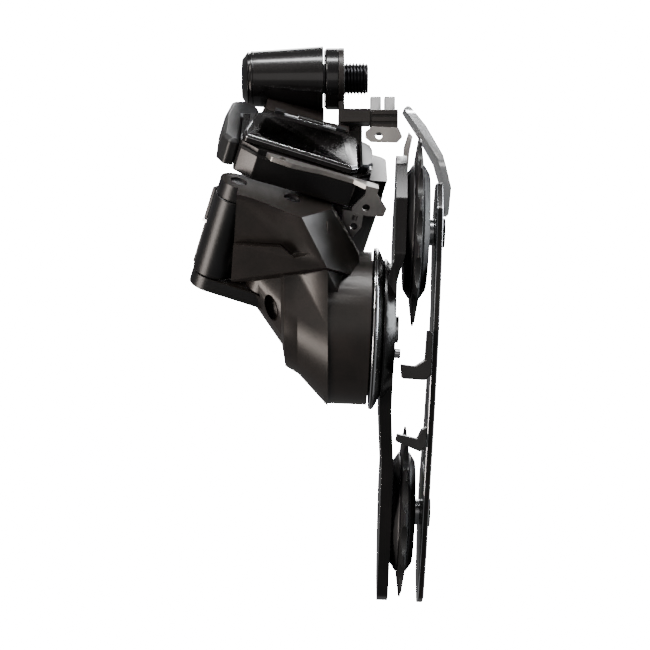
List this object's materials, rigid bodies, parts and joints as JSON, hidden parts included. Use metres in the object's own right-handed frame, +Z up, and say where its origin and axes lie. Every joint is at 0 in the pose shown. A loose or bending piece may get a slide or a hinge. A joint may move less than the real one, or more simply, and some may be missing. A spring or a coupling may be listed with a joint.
{
  "type": "rear bicycle derailleur",
  "caption": "Battery-powered rear derailleur: a slanted parallelogram carries a sprung cage with two toothed pulleys, bolted to a frame's hanger.",
  "frame": {"origin": "on the mounting bolt's axis, in the plane where the part meets the hanger", "axes": "+X along the thread, inboard to the wheel; +Z up; -Y to the front of the bicycle"},
  "size_m": [0.0772, 0.0853, 0.1715],
  "materials": {
    "black_anodised": "matte black anodised",
    "gloss_black": "glossy black anodised, polished edges",
    "black_steel": "blackened steel",
    "polished": "polished silver",
    "satin_grey": "satin grey",
    "steel": "hardened steel",
    "black_plastic": "glass-filled nylon",
    "smoked_window": "smoked polycarbonate",
    "seal_rubber": "moulded rubber",
    "bushing_bronze": "sintered bronze",
    "circuit_board": "fibreglass board",
    "gold_contact": "gold plated",
    "status_lens": "clear lens"
  },
  "bodies": {
    "mount": {"mounting_bolt": "black_steel", "hanger_collar": "gloss_black", "stop_plate": "black_anodised", "adjuster_bracket": "black_anodised", "adjuster_plate": "satin_grey", "hanger_fins": "polished"},
    "b_knuckle": {"bracket_body": "black_anodised", "axle_end_cap": "gloss_black", "axle_bushings": "bushing_bronze", "axle_spring": "steel", "battery_bay": "black_anodised", "battery_pack": "black_plastic", "battery_contacts": "gold_contact", "contact_board": "circuit_board", "drive_motor": "steel", "gearbox_case": "black_plastic", "rear_link_pins": "steel", "side_shoulder": "black_plastic", "tether_plate": "satin_grey", "control_board": "circuit_board", "electronics_cover": "black_plastic", "status_lens": "status_lens", "cover_screws": "black_steel", "door_hinge_pin": "steel", "door_hinge_lugs": "black_plastic", "latch_pin": "steel"},
    "battery_door": {"door_panel": "gloss_black", "door_window": "smoked_window", "door_seal": "seal_rubber"},
    "latch": {"door_latch": "black_steel"},
    "button": {"mode_button": "black_plastic"},
    "tension_adjuster": {"tension_screw": "black_steel"},
    "outer_link": {"outer_link": "black_anodised", "outer_link_cover": "black_anodised", "link_trim_ring": "polished", "outer_link_guard": "black_anodised", "outer_link_bushings": "bushing_bronze"},
    "inner_link": {"inner_link": "black_anodised", "inner_link_bushings": "bushing_bronze", "link_bracket": "satin_grey"},
    "p_knuckle": {"p_knuckle_body": "black_anodised", "front_link_pins": "steel", "cage_spring": "steel", "cage_axle_bushings": "bushing_bronze", "drum_seal": "seal_rubber"},
    "cage": {"hub_disc": "gloss_black", "cage_axle": "steel", "outer_cage_plate": "gloss_black", "inner_cage_plate": "gloss_black", "upper_chain_guard": "polished", "guard_leg": "satin_grey", "chain_guide_tab": "black_plastic", "lower_guard_tab": "black_plastic", "pulley_bolts": "black_steel", "pulley_sleeves": "steel", "cage_stop_pin": "steel"},
    "guide_wheel": {"guide_pulley": "black_plastic", "guide_pulley_covers": "black_plastic"},
    "tension_wheel": {"tension_pulley": "black_plastic", "tension_pulley_covers": "black_plastic"}
  },
  "joints": [
    {"name": "bracket_swing", "type": "hinge", "parent": "mount", "child": "b_knuckle", "pos_m": [0, 0, 0], "axis": [1, 0, 0], "range_deg": [0, 30], "stiffness_Nm_per_rad": 0.6, "springref_deg": -51.57},
    {"name": "shift", "type": "hinge", "parent": "b_knuckle", "child": "outer_link", "pos_m": [-0.01245, -0.00133, -0.04062], "axis": [0.2924, -0.4192, 0.8595], "range_deg": [0, 60]},
    {"name": "knuckle_pivot", "type": "hinge", "parent": "outer_link", "child": "p_knuckle", "pos_m": [-0.03549, -0.03534, -0.04937], "axis": [0.2924, -0.4192, 0.8595], "range_deg": [-60, 0]},
    {"name": "inner_link_pivot", "type": "hinge", "parent": "b_knuckle", "child": "inner_link", "pos_m": [0.00276, -0.00055, -0.04541], "axis": [0.2924, -0.4192, 0.8595], "range_deg": [0, 60]},
    {"name": "cage_pivot", "type": "hinge", "parent": "p_knuckle", "child": "cage", "pos_m": [0.0073, -0.02, -0.0765], "axis": [-0.9993, 0, 0.0384], "range_deg": [0, 95], "stiffness_Nm_per_rad": 0.35, "springref_deg": -68.75},
    {"name": "guide_spin", "type": "hinge", "parent": "cage", "child": "guide_wheel", "pos_m": [0.02122, -0.016, -0.04771], "axis": [0.9993, 0, -0.0384], "continuous": true},
    {"name": "tension_spin", "type": "hinge", "parent": "cage", "child": "tension_wheel", "pos_m": [0.01793, 0.006, -0.1332], "axis": [0.9993, 0, -0.0384], "continuous": true},
    {"name": "door_hinge", "type": "hinge", "parent": "b_knuckle", "child": "battery_door", "pos_m": [-0.01046, -0.01516, -0.015], "axis": [-0.9563, -0.1282, 0.2628], "range_deg": [0, 100]},
    {"name": "latch_hinge", "type": "hinge", "parent": "b_knuckle", "child": "latch", "pos_m": [0.00698, -0.02707, -0.02663], "axis": [0, 0.8988, 0.4384], "range_deg": [0, 70]},
    {"name": "button_press", "type": "slide", "parent": "b_knuckle", "child": "button", "axis": [0, -0.8988, -0.4384], "range_m": [0, 0.0006], "stiffness_N_per_m": 900, "springref_m": -0.0004},
    {"name": "tension_turn", "type": "hinge", "parent": "b_knuckle", "child": "tension_adjuster", "pos_m": [0.002, 0.014, -0.0128], "axis": [0, 1, 0], "continuous": true}
  ],
  "couplings": [
    {"joint": "knuckle_pivot", "follows": "shift", "ratio": -1},
    {"joint": "inner_link_pivot", "follows": "shift", "ratio": 1}
  ]
}
